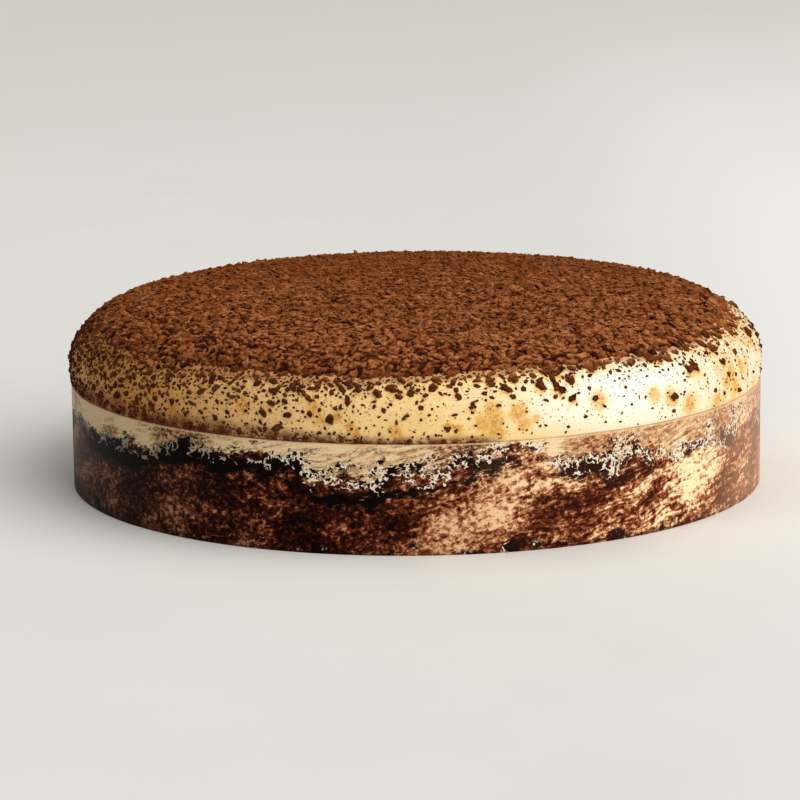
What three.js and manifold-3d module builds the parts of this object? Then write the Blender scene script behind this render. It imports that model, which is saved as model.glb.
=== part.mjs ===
// A round semifreddo cake, 18 cm across and 5 cm high. A thin marbled band stands round the
// lower half of its side. Above the band the frozen cream swells out into a rounded shoulder,
// and a clumpy coat of cocoa lies over the crown, down to a ragged edge on the shoulder.
// Loose crumbs of cocoa cling to the cream between that edge and the band.
//
// Millimetres, +Z up, origin at the centre of the base.

import * as THREE from "three";
import { ImprovedNoise } from "three/addons/math/ImprovedNoise.js";
import { mergeVertices } from "three/addons/utils/BufferGeometryUtils.js";
import Module from "manifold-3d";

const wasm = await Module();
wasm.setup();

// Driving dimensions of the cake
const BAND_RADIUS = 90; // outside of the band
const BAND_HEIGHT = 27;
const BAND_THICKNESS = 1;
const BAND_EDGE_ROUND = 0.35; // rounding of the band's two upper edges
const CREAM_HEIGHT = 48.4; // crown of the cream, under the cocoa
const SWELL_PROUD = 0.2; // how far the cream swells out past the band
const SWELL_RISE = 3.3; // height of the widest ring of cream above the band
const COAT_THICKNESS = 0.95; // cocoa over most of the crown
const FIT_GAP = 0.3; // clearance between two pieces that touch

// Shape of the shoulder: powers of the superellipse across and upwards
const SHOULDER_ACROSS = 7;
const SHOULDER_UP = 2.34;

// Unevenness of the unmoulded cream
const UNEVEN_DEPTH = 0.3;
const UNEVEN_SCALE = 17;

// Cocoa coat: places along the shoulder are shares of the way from the widest ring to the crown
const COAT_EDGE_PLACE = 0.128;
const COAT_EDGE_LEAN = 0.02; // the coat hangs lower on one side than on the other
const COAT_EDGE_HIGH_SIDE = THREE.MathUtils.degToRad(20);
const COAT_BAY_DEPTH = 0.046; // how far the edge draws back in a bay at one end
const COAT_BAY_MIDDLE = THREE.MathUtils.degToRad(6);
const COAT_BAY_SPREAD = THREE.MathUtils.degToRad(22);
const COAT_EDGE_RAGGED = 0.02; // how far the edge wanders up and down
const COAT_EDGE_SCALE = 7; // length of one wander, round the cake
const COAT_EDGE_THICKNESS = 0.3;
const COAT_EDGE_TAPER = 0.06; // share of the way over which the coat thickens
const COAT_BUMP_DEPTH = 0.5;
const COAT_BUMP_SCALE = 3.7;

// Cocoa clumps on the coat and loose crumbs on the shoulder
const CLUMP_COUNT = 62;
const CLUMP_HALF_WIDTH = [1.2, 1.9];
const CLUMP_FLATNESS = 0.48; // half height over half width
const CLUMP_RAISED = 1.15; // height of a clump's middle over the coat's underside, in half heights
const CRUMB_COUNT = 80;
const CRUMB_HALF_WIDTH = [0.7, 1.5];
const CRUMB_FLATNESS = 0.65;
const CRUMB_RAISED = 0.1; // height of a crumb's middle over the cream, in half heights
const CRUMB_GATHERS = 1.5; // above 1, crumbs gather towards the coat
const CRUMB_CLEARANCE = 1; // from a crumb's rim to the coat
const LUMP_LENGTH = [0.9, 1.3]; // shares of a lump's half width
const LUMP_WIDTH = [0.65, 0.95];
const LUMP_RAGGED = 0.28; // random share by which a lump's corners move
const GOLDEN_ANGLE = Math.PI * (3 - Math.sqrt(5));
const RANDOM_SEED = 20;

// Facets
const SEGMENTS = 80; // round the cream and the band
const CREAM_RINGS = 14;
const CREAM_RING_CROWDING = 1.8; // above 1, rings crowd towards the shoulder
const COAT_RINGS = 15; // from the middle of the coat to its edge
const COAT_RING_CROWDING = 1.4;
const ROUND_STEPS = 3;
const NEARLY_CROWN = 0.99; // last share of the way where the section still has a direction
const MERGE_DISTANCE = 1e-4;

// Sizes that follow from the driving dimensions
const BAND_INNER_RADIUS = BAND_RADIUS - BAND_THICKNESS;
const CREAM_RADIUS = BAND_INNER_RADIUS - FIT_GAP; // inside the band
const SWELL_RADIUS = BAND_RADIUS + SWELL_PROUD;
const SWELL_HEIGHT = BAND_HEIGHT + SWELL_RISE;

const CREAM_FINISH = new THREE.MeshStandardMaterial({ color: 0xedcf98, roughness: 0.45 });
const COCOA_FINISH = new THREE.MeshStandardMaterial({ color: 0x6b3b20, roughness: 0.95 });
const BAND_FINISH = new THREE.MeshStandardMaterial({ color: 0x6a4630, roughness: 0.25 });

const noise = new ImprovedNoise();

// Repeatable random numbers from 0 to 1
function makeRandom(seed) {
  let state = seed;
  return () => {
    state = (state + 0x6d2b79f5) | 0;
    let mixed = Math.imul(state ^ (state >>> 15), 1 | state);
    mixed = (mixed + Math.imul(mixed ^ (mixed >>> 7), 61 | mixed)) ^ mixed;
    return ((mixed ^ (mixed >>> 14)) >>> 0) / 4294967296;
  };
}

const random = makeRandom(RANDOM_SEED);

function between([low, high]) {
  return THREE.MathUtils.lerp(low, high, random());
}

// Half the section of the cream from its widest ring up to the crown, x across and y up
class ShoulderCurve extends THREE.Curve {
  getPoint(share, target = new THREE.Vector2()) {
    const angle = (1 - (1 - share) ** (SHOULDER_ACROSS / 2)) * (Math.PI / 2);
    const across = share < 1 ? Math.cos(angle) ** (2 / SHOULDER_ACROSS) : 0;
    const up = Math.sin(angle) ** (2 / SHOULDER_UP);
    const rise = CREAM_HEIGHT - SWELL_HEIGHT;
    return target.set(SWELL_RADIUS * across, SWELL_HEIGHT + rise * up);
  }
}

const shoulder = new ShoulderCurve();

// Outward normal of the section at a share of the way along it
function shoulderNormal(share) {
  const tangent = shoulder.getTangentAt(Math.min(share, NEARLY_CROWN));
  return new THREE.Vector2(tangent.y, -tangent.x);
}

// Point above the cream's smooth surface, at an angle round the cake
function overCream(turn, share, lift) {
  const point = shoulder.getPointAt(share);
  if (share < 1) {
    point.addScaledVector(shoulderNormal(share), lift);
  } else {
    point.y += lift;
  }
  return new THREE.Vector3(point.x * Math.cos(turn), point.x * Math.sin(turn), point.y);
}

// Closed geometry as a solid that can be joined
function solidOf(geometry) {
  geometry.deleteAttribute("normal");
  geometry.deleteAttribute("uv");
  const merged = mergeVertices(geometry, MERGE_DISTANCE);
  const mesh = new wasm.Mesh({
    numProp: 3,
    vertProperties: merged.attributes.position.array,
    triVerts: new Uint32Array(merged.index.array),
  });
  return new wasm.Manifold(mesh);
}

// Joined solid back as geometry with flat facets
function geometryOf(solid) {
  const mesh = solid.getMesh();
  const geometry = new THREE.BufferGeometry();
  geometry.setAttribute("position", new THREE.BufferAttribute(mesh.vertProperties, 3));
  geometry.setIndex(new THREE.BufferAttribute(mesh.triVerts, 1));
  return geometry;
}

// The unmoulded cream is a little out of round: its shoulder and all that lies on it wander in and out
function makeUneven(geometry) {
  const position = geometry.getAttribute("position");
  const point = new THREE.Vector3();
  for (let i = 0; i < position.count; i += 1) {
    point.fromBufferAttribute(position, i);
    const aboveBand = THREE.MathUtils.smoothstep(point.z, BAND_HEIGHT + FIT_GAP, SWELL_HEIGHT);
    const wander = noise.noise(point.x / UNEVEN_SCALE, point.y / UNEVEN_SCALE, point.z / UNEVEN_SCALE);
    const reach = Math.hypot(point.x, point.y) / SWELL_RADIUS;
    const stretch = 1 + (aboveBand * reach * UNEVEN_DEPTH * wander) / SWELL_RADIUS;
    position.setXY(i, point.x * stretch, point.y * stretch);
  }
  geometry.computeVertexNormals();
  return geometry;
}

// A full turn of a section about the upright axis
function turned(section) {
  return new THREE.LatheGeometry(section, SEGMENTS).rotateX(Math.PI / 2);
}

// A quarter ellipse from one point to another, leaving the first one upright or level
function quarterRound(from, to, leavesUpright) {
  const points = [];
  for (let step = 1; step <= ROUND_STEPS; step += 1) {
    const angle = (step / ROUND_STEPS) * (Math.PI / 2);
    const late = 1 - Math.cos(angle);
    const early = Math.sin(angle);
    const across = leavesUpright ? late : early;
    const up = leavesUpright ? early : late;
    const x = THREE.MathUtils.lerp(from.x, to.x, across);
    const y = THREE.MathUtils.lerp(from.y, to.y, up);
    points.push(new THREE.Vector2(x, y));
  }
  return points;
}

// An irregular flattened lump, lying on a surface with this normal
function lump(centre, normal, halfWidth, flatness) {
  const sphere = new THREE.IcosahedronGeometry(1);
  const geometry = mergeVertices(sphere.deleteAttribute("normal").deleteAttribute("uv"));
  const position = geometry.getAttribute("position");
  for (let i = 0; i < position.count; i += 1) {
    const reach = 1 + LUMP_RAGGED * (2 * random() - 1);
    position.setXYZ(i, position.getX(i) * reach, position.getY(i) * reach, position.getZ(i) * reach);
  }
  const length = halfWidth * between(LUMP_LENGTH);
  const width = halfWidth * between(LUMP_WIDTH);
  geometry.rotateX(Math.PI * random());
  geometry.scale(length, width, halfWidth * flatness);
  geometry.rotateZ(2 * Math.PI * random());
  const upright = new THREE.Quaternion().setFromUnitVectors(new THREE.Vector3(0, 0, 1), normal);
  geometry.applyQuaternion(upright);
  geometry.translate(centre.x, centre.y, centre.z);
  return solidOf(geometry);
}

// Normal of the cream's surface in space
function surfaceNormal(turn, share) {
  const normal = shoulderNormal(share);
  return new THREE.Vector3(normal.x * Math.cos(turn), normal.x * Math.sin(turn), normal.y);
}

// Where the ragged edge of the cocoa lies on the shoulder
function coatEdge(turn) {
  const x = (BAND_RADIUS * Math.cos(turn)) / COAT_EDGE_SCALE;
  const y = (BAND_RADIUS * Math.sin(turn)) / COAT_EDGE_SCALE;
  const lean = COAT_EDGE_LEAN * Math.cos(turn - COAT_EDGE_HIGH_SIDE);
  const fromBay = (1 - Math.cos(turn - COAT_BAY_MIDDLE)) / COAT_BAY_SPREAD ** 2;
  const bay = COAT_BAY_DEPTH * Math.exp(-2 * fromBay);
  return COAT_EDGE_PLACE + lean + bay + COAT_EDGE_RAGGED * noise.noise(x, y, 0);
}

// Thickness of the cocoa: thin at its edge, bumpy over the crown
function coatThickness(turn, share) {
  const inwards = THREE.MathUtils.smoothstep(share - coatEdge(turn), 0, COAT_EDGE_TAPER);
  const place = overCream(turn, share, 0).divideScalar(COAT_BUMP_SCALE);
  const bump = COAT_BUMP_DEPTH * noise.noise(place.x, place.y, place.z);
  return THREE.MathUtils.lerp(COAT_EDGE_THICKNESS, COAT_THICKNESS + bump, inwards);
}

function marbledBand() {
  const inner = BAND_INNER_RADIUS;
  const outer = BAND_RADIUS;
  const start = new THREE.Vector2(inner, 0);
  const outerShoulder = new THREE.Vector2(outer, BAND_HEIGHT - BAND_EDGE_ROUND);
  const topOuter = new THREE.Vector2(outer - BAND_EDGE_ROUND, BAND_HEIGHT);
  const topInner = new THREE.Vector2(inner + BAND_EDGE_ROUND, BAND_HEIGHT);
  const innerShoulder = new THREE.Vector2(inner, BAND_HEIGHT - BAND_EDGE_ROUND);
  const section = [start, new THREE.Vector2(outer, 0), outerShoulder];
  section.push(...quarterRound(outerShoulder, topOuter, true), topInner);
  section.push(...quarterRound(topInner, innerShoulder, false), start.clone());
  return turned(section);
}

function creamBody() {
  const foot = new THREE.Vector2(CREAM_RADIUS, BAND_HEIGHT);
  const section = [new THREE.Vector2(0, 0), new THREE.Vector2(CREAM_RADIUS, 0), foot];
  section.push(...quarterRound(foot, shoulder.getPointAt(0), false));
  for (let ring = 1; ring <= CREAM_RINGS; ring += 1) {
    // Rings stand closer together on the shoulder than on the crown
    section.push(shoulder.getPointAt((ring / CREAM_RINGS) ** CREAM_RING_CROWDING));
  }
  return solidOf(turned(section));
}

// Cream with the loose crumbs of cocoa that cling to its shoulder
function semifreddo() {
  let solid = creamBody();
  for (let i = 0; i < CRUMB_COUNT; i += 1) {
    const turn = i * GOLDEN_ANGLE;
    const halfWidth = between(CRUMB_HALF_WIDTH);
    const clear = (halfWidth * LUMP_LENGTH[1] + CRUMB_CLEARANCE) / shoulder.getLength();
    const highest = coatEdge(turn) - COAT_EDGE_RAGGED - clear;
    const share = highest * (1 - random() ** CRUMB_GATHERS);
    const centre = overCream(turn, share, halfWidth * CRUMB_FLATNESS * CRUMB_RAISED);
    solid = solid.add(lump(centre, surfaceNormal(turn, share), halfWidth, CRUMB_FLATNESS));
  }
  return makeUneven(geometryOf(solid));
}

// A point of a square as a place on a disc: squares about the middle become rings
function squareToDisc(x, y) {
  const outwards = Math.max(Math.abs(x), Math.abs(y));
  const eighth = Math.PI / 4;
  let turn = 0;
  if (Math.abs(x) >= Math.abs(y) && outwards > 0) {
    turn = (eighth * y) / x + (x < 0 ? Math.PI : 0);
  } else if (outwards > 0) {
    turn = 2 * eighth - (eighth * x) / y + (y < 0 ? Math.PI : 0);
  }
  return { outwards, turn };
}

// Cocoa layer: a flat box whose two faces are rounded off to discs and laid over the cream
function coatLayer() {
  const geometry = new THREE.BoxGeometry(2, 2, 2, 2 * COAT_RINGS, 2 * COAT_RINGS, 1);
  const position = geometry.getAttribute("position");
  for (let i = 0; i < position.count; i += 1) {
    const { outwards, turn } = squareToDisc(position.getX(i), position.getY(i));
    const share = THREE.MathUtils.lerp(coatEdge(turn), 1, (1 - outwards) ** COAT_RING_CROWDING);
    const isTop = position.getZ(i) > 0;
    const point = overCream(turn, share, FIT_GAP + (isTop ? coatThickness(turn, share) : 0));
    position.setXYZ(i, point.x, point.y, point.z);
  }
  return solidOf(geometry);
}

// Cocoa layer with the larger clumps that stand out of it
function cocoaCoat() {
  let solid = coatLayer();
  for (let i = 0; i < CLUMP_COUNT; i += 1) {
    const turn = i * GOLDEN_ANGLE;
    const halfWidth = between(CLUMP_HALF_WIDTH);
    // Even cover of a disc puts the distance from its middle at the root of the count
    const outwards = Math.sqrt((i + 0.5) / CLUMP_COUNT);
    const share = THREE.MathUtils.lerp(1, coatEdge(turn) + COAT_EDGE_TAPER, outwards);
    const centre = overCream(turn, share, FIT_GAP + halfWidth * CLUMP_FLATNESS * CLUMP_RAISED);
    solid = solid.add(lump(centre, surfaceNormal(turn, share), halfWidth, CLUMP_FLATNESS));
  }
  return makeUneven(geometryOf(solid));
}

function piece(name, geometry, finish) {
  const mesh = new THREE.Mesh(geometry, finish);
  mesh.name = name;
  return mesh;
}

const cake = new THREE.Group();
cake.add(
  piece("semifreddo", semifreddo(), CREAM_FINISH),
  piece("cocoa_coat", cocoaCoat(), COCOA_FINISH),
  piece("marbled_band", marbledBand(), BAND_FINISH),
);

export default cake;
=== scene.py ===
"""A round semifreddo cake: satin cream in a marbled band, under a crumbly coat of cocoa.

Metres, +Z up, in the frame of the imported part. Places and patterns in materials are in millimetres.
"""

import math

import bmesh
import bpy
import numpy as np
from mathutils import Matrix, Vector, noise


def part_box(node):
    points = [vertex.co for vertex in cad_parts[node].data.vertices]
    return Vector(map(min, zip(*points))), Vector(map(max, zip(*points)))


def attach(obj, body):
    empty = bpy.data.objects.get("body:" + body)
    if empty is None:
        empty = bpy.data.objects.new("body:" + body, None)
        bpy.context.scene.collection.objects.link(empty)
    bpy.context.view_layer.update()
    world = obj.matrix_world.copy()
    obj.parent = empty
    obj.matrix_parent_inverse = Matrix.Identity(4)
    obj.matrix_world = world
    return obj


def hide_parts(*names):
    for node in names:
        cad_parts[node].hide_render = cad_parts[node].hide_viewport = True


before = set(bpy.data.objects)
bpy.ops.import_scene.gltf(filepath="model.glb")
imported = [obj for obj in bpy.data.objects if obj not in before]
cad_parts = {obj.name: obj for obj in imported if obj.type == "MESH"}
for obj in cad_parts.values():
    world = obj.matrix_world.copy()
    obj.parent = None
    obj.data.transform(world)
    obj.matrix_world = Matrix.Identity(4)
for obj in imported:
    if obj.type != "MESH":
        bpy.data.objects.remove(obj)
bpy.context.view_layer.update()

MM = 0.001
FULL_TURN = 2 * math.pi
MERGE_DISTANCE = MM / 100

SEED = 7
noise.seed_set(SEED)  # the noise that warps the crust's lumps takes its offsets from this

# Sizes of the solids
BAND_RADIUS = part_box("marbled_band")[1].x
BAND_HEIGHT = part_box("marbled_band")[1].z
CREAM_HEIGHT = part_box("semifreddo")[1].z

# Cream: its widest ring stands a little above the band, and its shoulder is a superellipse
BAND_THICKNESS = 1.0 * MM
CREAM_TUCK = 0.05 * MM  # how far the cream reaches into the band's wall
CREAM_LIP = 0.45 * MM  # how far in from the band's outside the cream comes down on its top edge
SWELL_RADIUS = BAND_RADIUS + 0.2 * MM
SWELL_HEIGHT = BAND_HEIGHT + 3.3 * MM
SHOULDER_ACROSS = 7  # powers of the superellipse
SHOULDER_UP = 2.34
CREASE_STEPS = 12
SHOULDER_RINGS = 64
CROWN_RINGS = 10
ROUND_STEPS = 720
SHOULDER_SAMPLES = 4000
CREASE_SAMPLES = 200

# Unevenness of the unmoulded cream: depth and length of each size of wave, and mould lines on one side
WAVES = [(0.34 * MM, 17 * MM), (0.1 * MM, 5.5 * MM)]
RIPPLE_DEPTH = 0.16 * MM
RIPPLE_LENGTH = 4.6 * MM
RIPPLE_MIDDLE = math.radians(-22)
RIPPLE_SPREAD = math.radians(16)

# Cocoa coat: places are distances up the shoulder from the widest ring of the cream
COAT_EDGE = 13.2 * MM
COAT_EDGE_LEAN = 2.3 * MM
COAT_EDGE_HIGH_SIDE = math.radians(20)
COAT_BAY_DEPTH = 4.5 * MM  # how far the edge draws back at one end
COAT_BAY_MIDDLE = math.radians(6)
COAT_BAY_SPREAD = math.radians(22)
COAT_EDGE_WANDERS = [(1.4 * MM, 9 * MM), (0.7 * MM, 3 * MM)]  # depth and length of each size of wave
COAT_INSET = 0.4 * MM  # how far above the edge of the dense crumbs the ground under them ends
COAT_FRAY = (0.7 * MM, 1.3 * MM)  # depth and width of the tatters of that end
COAT_SKIRT = 1 * MM  # how far that ground runs on below its end, hidden in the cream
COAT_CELLS = 300
COAT_CROWDING = 1.1  # above 1 the cells are smaller towards the edge
COAT_THICKNESS = 0.45 * MM
COAT_RISE = 1.6  # from its sunk edge to its full height, in thicknesses
COAT_FADE = (2.6 * MM, 6.5 * MM)  # width of the thinning edge, on the clean side and opposite
COAT_UNDERSIDE_RINGS = 4
COAT_UNDERSIDE_PART = 3  # its hidden underside is drawn in towards this part of the shoulder's length
STRAY_POWER = 3
CLEAN_SIDE_RANGE = (-0.3, 0.6)  # cosines of the angle from the side where the edge is highest

# Relief of the coat
CRUST_LUMPS = [(0.6 * MM, 2.0 * MM), (0.32 * MM, 1.05 * MM)]  # depth and width of each size of lump
CRUST_LUMP_WARP = 0.35  # how far lumps are bent, in their widths
CRUST_LUMP_TOP = 0.32  # noise at which a lump has its full height
CRUST_SMOOTH_FROM = -20 * MM  # towards the back the crust is smoother
CRUST_SMOOTH_TO = 60 * MM
CRUST_SMOOTHER = 0.5
CRUST_EDGE = 12 * MM  # width of the strip along the edge with a flatter crust and other sizes of crumb
CRUST_EDGE_RELIEF = 0.35  # share of the relief that is left at the edge itself
CRUST_SWELL = 8 * MM
CRUST_SWELL_DEPTH = 0.22 * MM
HOLLOW_FINE_SHARE = 0.4  # part that the finer lumps have in how deep a crease is
SMOOTH_HOLLOW = 0.6  # what counts as the depth of a crease where the crust is smooth


def smooth_step(value, low, high):
    share = np.clip((value - low) / (high - low), 0, 1)
    return share * share * (3 - 2 * share)


def noise_at(points, size):
    """Smooth noise from -1 to 1 at each point, with features of this size."""
    return np.array([noise.noise(point) for point in points / size])


class Shoulder:
    """The cream's section above the band: a crease up to its widest ring, then a shoulder up to the crown."""

    foot = BAND_RADIUS - CREAM_LIP
    rise = np.linspace(0, math.pi / 2, CREASE_SAMPLES)
    crease_across = foot + (SWELL_RADIUS - foot) * np.sin(rise)
    crease_up = BAND_HEIGHT + (SWELL_HEIGHT - BAND_HEIGHT) * (1 - np.cos(rise))
    along = np.linspace(0, 1, SHOULDER_SAMPLES)[1:]
    angle = (1 - (1 - along) ** (SHOULDER_ACROSS / 2)) * math.pi / 2
    round_across = SWELL_RADIUS * np.maximum(np.cos(angle), 0) ** (2 / SHOULDER_ACROSS)
    round_up = SWELL_HEIGHT + (CREAM_HEIGHT - SWELL_HEIGHT) * np.sin(angle) ** (2 / SHOULDER_UP)
    across = np.concatenate([crease_across, round_across])
    up = np.concatenate([crease_up, round_up])
    steps = np.hypot(np.diff(across), np.diff(up))
    distance = np.concatenate([[0], np.cumsum(steps)]) - np.sum(steps[:CREASE_SAMPLES - 1])
    slope = np.arctan2(np.gradient(up, distance), np.gradient(across, distance))
    lowest = distance[0]
    length = distance[-1]


def on_cream(turn, distance):
    """Points of the uneven cream and its normals, at angles round it and distances up its shoulder."""
    across = np.interp(distance, Shoulder.distance, Shoulder.across)
    up = np.interp(distance, Shoulder.distance, Shoulder.up)
    slope = np.interp(distance, Shoulder.distance, Shoulder.slope)
    points = np.stack([across * np.cos(turn), across * np.sin(turn), up], axis=-1)
    outward = np.sin(slope)
    normals = np.stack([outward * np.cos(turn), outward * np.sin(turn), -np.cos(slope)], axis=-1)
    return points + sway(points), normals


def sway(points):
    """How the cream's unevenness moves each point in or out."""
    turn = np.arctan2(points[:, 1], points[:, 0])
    above_band = smooth_step(points[:, 2], BAND_HEIGHT, SWELL_HEIGHT)
    depth = sum(wave_depth * noise_at(points, wave_length) for wave_depth, wave_length in WAVES)
    window = np.exp(-(((turn - RIPPLE_MIDDLE) / RIPPLE_SPREAD) ** 2))
    depth += RIPPLE_DEPTH * window * np.sin(turn * BAND_RADIUS * FULL_TURN / RIPPLE_LENGTH)
    outward = points * [1, 1, 0] / BAND_RADIUS
    return outward * (above_band * depth)[:, None]


def rim(turn):
    """Points of the band's outline at these angles, for noise that goes round the cake."""
    return BAND_RADIUS * np.stack([np.cos(turn), np.sin(turn), 0 * turn], axis=-1)


def coat_edge(turn):
    """Distance up the shoulder at which the dense cocoa ends."""
    edge = COAT_EDGE + COAT_EDGE_LEAN * np.cos(turn - COAT_EDGE_HIGH_SIDE)
    from_bay = 2 * (np.cos(turn - COAT_BAY_MIDDLE) - 1) / COAT_BAY_SPREAD ** 2
    edge = edge + COAT_BAY_DEPTH * np.exp(from_bay)
    for depth, length in COAT_EDGE_WANDERS:
        edge = edge + depth * noise_at(rim(turn), length)
    return edge


def ground_edge(turn):
    """Distance up the shoulder at which the ground under the crumbs ends."""
    depth, length = COAT_FRAY
    return coat_edge(turn) + COAT_INSET + depth * noise_at(rim(turn), length)


# Making pieces
def new_piece(name, bm, finish, node=None):
    mesh = bpy.data.meshes.new(name)
    bm.to_mesh(mesh)
    bm.free()
    return finished(name, mesh, finish, node)


def finished(name, mesh, finish, node=None):
    """A piece of the cake from its mesh and material, in place of a node where one is named."""
    mesh.materials.append(finish)
    mesh.shade_smooth()
    piece = bpy.data.objects.new(name, mesh)
    bpy.context.scene.collection.objects.link(piece)
    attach(piece, "root")
    if node:
        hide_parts(node)
    return piece


def keep(piece, name, values):
    """Keeps a value with each point of a piece, for its material to read."""
    piece.data.attributes.new(name, "FLOAT", "POINT").data.foreach_set("value", values)


def spun(section):
    """A full turn of a section, given as distances from the axis and heights."""
    bm = bmesh.new()
    corners = [bm.verts.new((across, 0, up)) for across, up in section]
    edges = [bm.edges.new(pair) for pair in zip(corners, corners[1:])]
    bmesh.ops.spin(bm, geom=corners + edges, axis=(0, 0, 1), cent=(0, 0, 0), dvec=(0, 0, 0),
                   angle=FULL_TURN, steps=ROUND_STEPS, use_merge=True)
    bmesh.ops.remove_doubles(bm, verts=bm.verts, dist=MERGE_DISTANCE)
    bmesh.ops.recalc_face_normals(bm, faces=bm.faces)
    return bm


def places(bm):
    return np.array([corner.co for corner in bm.verts])


def move_to(bm, points):
    for corner, point in zip(bm.verts, points):
        corner.co = point


def quarter_round(start, end, level_first, steps):
    """Points of a quarter ellipse after its start, leaving that level or upright."""
    points = []
    for step in range(1, steps + 1):
        angle = step / steps * math.pi / 2
        early, late = math.sin(angle), 1 - math.cos(angle)
        across, up = (early, late) if level_first else (late, early)
        points.append((start[0] + (end[0] - start[0]) * across, start[1] + (end[1] - start[1]) * up))
    return points


# Cream
def section_point(distance):
    across = np.interp(distance, Shoulder.distance, Shoulder.across)
    return across, np.interp(distance, Shoulder.distance, Shoulder.up)


def cream_section():
    """Half of the cream's outline, with its rings closest where no coat hides it."""
    inside = BAND_RADIUS - BAND_THICKNESS + CREAM_TUCK
    shown = COAT_EDGE + COAT_EDGE_LEAN + COAT_BAY_DEPTH + COAT_INSET
    section = [(0, 0), (inside, 0), (inside, BAND_HEIGHT)]
    section += [section_point(distance) for distance in np.linspace(Shoulder.lowest, 0, CREASE_STEPS + 1)]
    section += [section_point(distance) for distance in np.linspace(0, shown, SHOULDER_RINGS + 1)[1:]]
    crown = np.linspace(shown, Shoulder.length, CROWN_RINGS + 1)[1:]
    return section + [section_point(distance) for distance in crown]


def make_cream(finish):
    bm = spun(cream_section())
    points = places(bm)
    move_to(bm, points + sway(points))
    return new_piece("cream", bm, finish, "semifreddo")


# Cocoa coat
def crust_lump(points, size):
    """Irregular lumps of this size, from 0 in the creases between them to 1 on their tops."""
    warp = np.array([noise.noise_vector(point) for point in points / size])
    return smooth_step(np.abs(noise_at(points + warp * size * CRUST_LUMP_WARP, size)), 0, CRUST_LUMP_TOP)


def crust_roughness(points):
    """1 at the front of the crown, less towards its back."""
    return 1 - CRUST_SMOOTHER * smooth_step(points[:, 1], CRUST_SMOOTH_FROM, CRUST_SMOOTH_TO)


def crust_height(points):
    height = CRUST_SWELL_DEPTH * noise_at(points, CRUST_SWELL)
    for depth, size in CRUST_LUMPS:
        height = height + depth * crust_lump(points, size)
    return height * crust_roughness(points)


def keep_hollows(piece, points, share=1):
    """Keeps with each point of a piece how deep it lies in the creases of the crust, or a share of that, for
    painted shade there.
    """
    coarse, fine = [crust_lump(points, size) for _, size in CRUST_LUMPS]
    rough = crust_roughness(points)
    raised = coarse * (1 - HOLLOW_FINE_SHARE + HOLLOW_FINE_SHARE * fine)
    keep(piece, "hollow", (rough * (1 - raised) + (1 - rough) * SMOOTH_HOLLOW) * share)


def square_to_disc(points):
    """Squares about the middle become rings: each point's distance from the middle and its angle."""
    x, y = points[:, 0], points[:, 1]
    outwards = np.maximum(np.abs(x), np.abs(y))
    wide = np.abs(x) >= np.abs(y)
    along = np.where(wide, y, -x) / np.where(outwards > 0, np.where(wide, x, y), 1)
    quarter = np.where(wide, np.where(x < 0, 2, 0), np.where(y < 0, 3, 1))
    return outwards, (along + 2 * quarter) * math.pi / 4


def stray(turn):
    """How far cocoa has strayed from the coat: 1 on one side of the cake, 0 on the other."""
    return (0.5 - 0.5 * np.cos(turn - COAT_EDGE_HIGH_SIDE)) ** STRAY_POWER


def clean_side(turn):
    """1 on the side of the cake that took the least cocoa, where its edge has larger chips."""
    return smooth_step(np.cos(turn - COAT_EDGE_HIGH_SIDE), *CLEAN_SIDE_RANGE)


def coat_lift(turn, distance):
    """How high the coat stands over the cream. It sinks into the cream at its edge."""
    points = on_cream(turn, distance)[0]
    inwards = distance - ground_edge(turn)
    narrow, wide = COAT_FADE
    cover = smooth_step(inwards, 0, narrow + (wide - narrow) * stray(turn))
    relief = CRUST_EDGE_RELIEF + (1 - CRUST_EDGE_RELIEF) * smooth_step(inwards, 0, CRUST_EDGE)
    return crust_height(points) * relief + COAT_THICKNESS * (COAT_RISE * cover - 1)


def make_coat(finish):
    """A square grid made round, laid over the cream, with its rim drawn in underneath."""
    bm = bmesh.new()
    bmesh.ops.create_grid(bm, x_segments=COAT_CELLS, y_segments=COAT_CELLS, size=1)
    outwards, turn = square_to_disc(places(bm))
    lowest = ground_edge(turn) - COAT_SKIRT
    distance = lowest + (Shoulder.length - lowest) * (1 - outwards) ** COAT_CROWDING
    points, normals = on_cream(turn, distance)
    move_to(bm, points + normals * coat_lift(turn, distance)[:, None])
    border = [edge for edge in bm.edges if edge.is_boundary]
    for ring in range(COAT_UNDERSIDE_RINGS):
        grown = bmesh.ops.extrude_edge_only(bm, edges=border)["geom"]
        corners = [part for part in grown if isinstance(part, bmesh.types.BMVert)]
        border = [part for part in grown if isinstance(part, bmesh.types.BMEdge)]
        tuck_under(corners, (ring + 1) / (COAT_UNDERSIDE_RINGS + 1))
    bmesh.ops.contextual_create(bm, geom=border)
    bmesh.ops.recalc_face_normals(bm, faces=bm.faces)
    hidden = len(bm.verts) - len(points)
    coat = new_piece("cocoa_crust", bm, finish, "cocoa_coat")
    keep_hollows(coat, np.concatenate([points, points[:hidden]]))


def tuck_under(corners, share):
    """Moves a ring of the coat's hidden underside up the shoulder, just inside the cream."""
    turn = np.array([math.atan2(corner.co.y, corner.co.x) for corner in corners])
    lowest = ground_edge(turn) - COAT_SKIRT
    highest = Shoulder.length / COAT_UNDERSIDE_PART
    points, normals = on_cream(turn, lowest + (highest - lowest) * share)
    for corner, point in zip(corners, points - normals * COAT_THICKNESS):
        corner.co = point


# Shapes of loose cocoa: lengths and widths in half widths of a lump, faces around and from pole to pole
LOWEST_CRUMB = -2.6 * MM
LUMP_RAGGED = 0.38
LUMP_LENGTH = (0.9, 1.5)
LUMP_WIDTH = (0.6, 1.0)
LUMP_TILT = 0.3
LUMP_SPIN = 0.7  # usual turn of a lump away from lying level, in radians
CLUMP_FACES = (8, 5)
CRUMB_FACES = (5, 3)
SPECK_FACES = (4, 2)
DUST_FACES = (3, 2)
COVER_SAMPLES = 400

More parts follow.
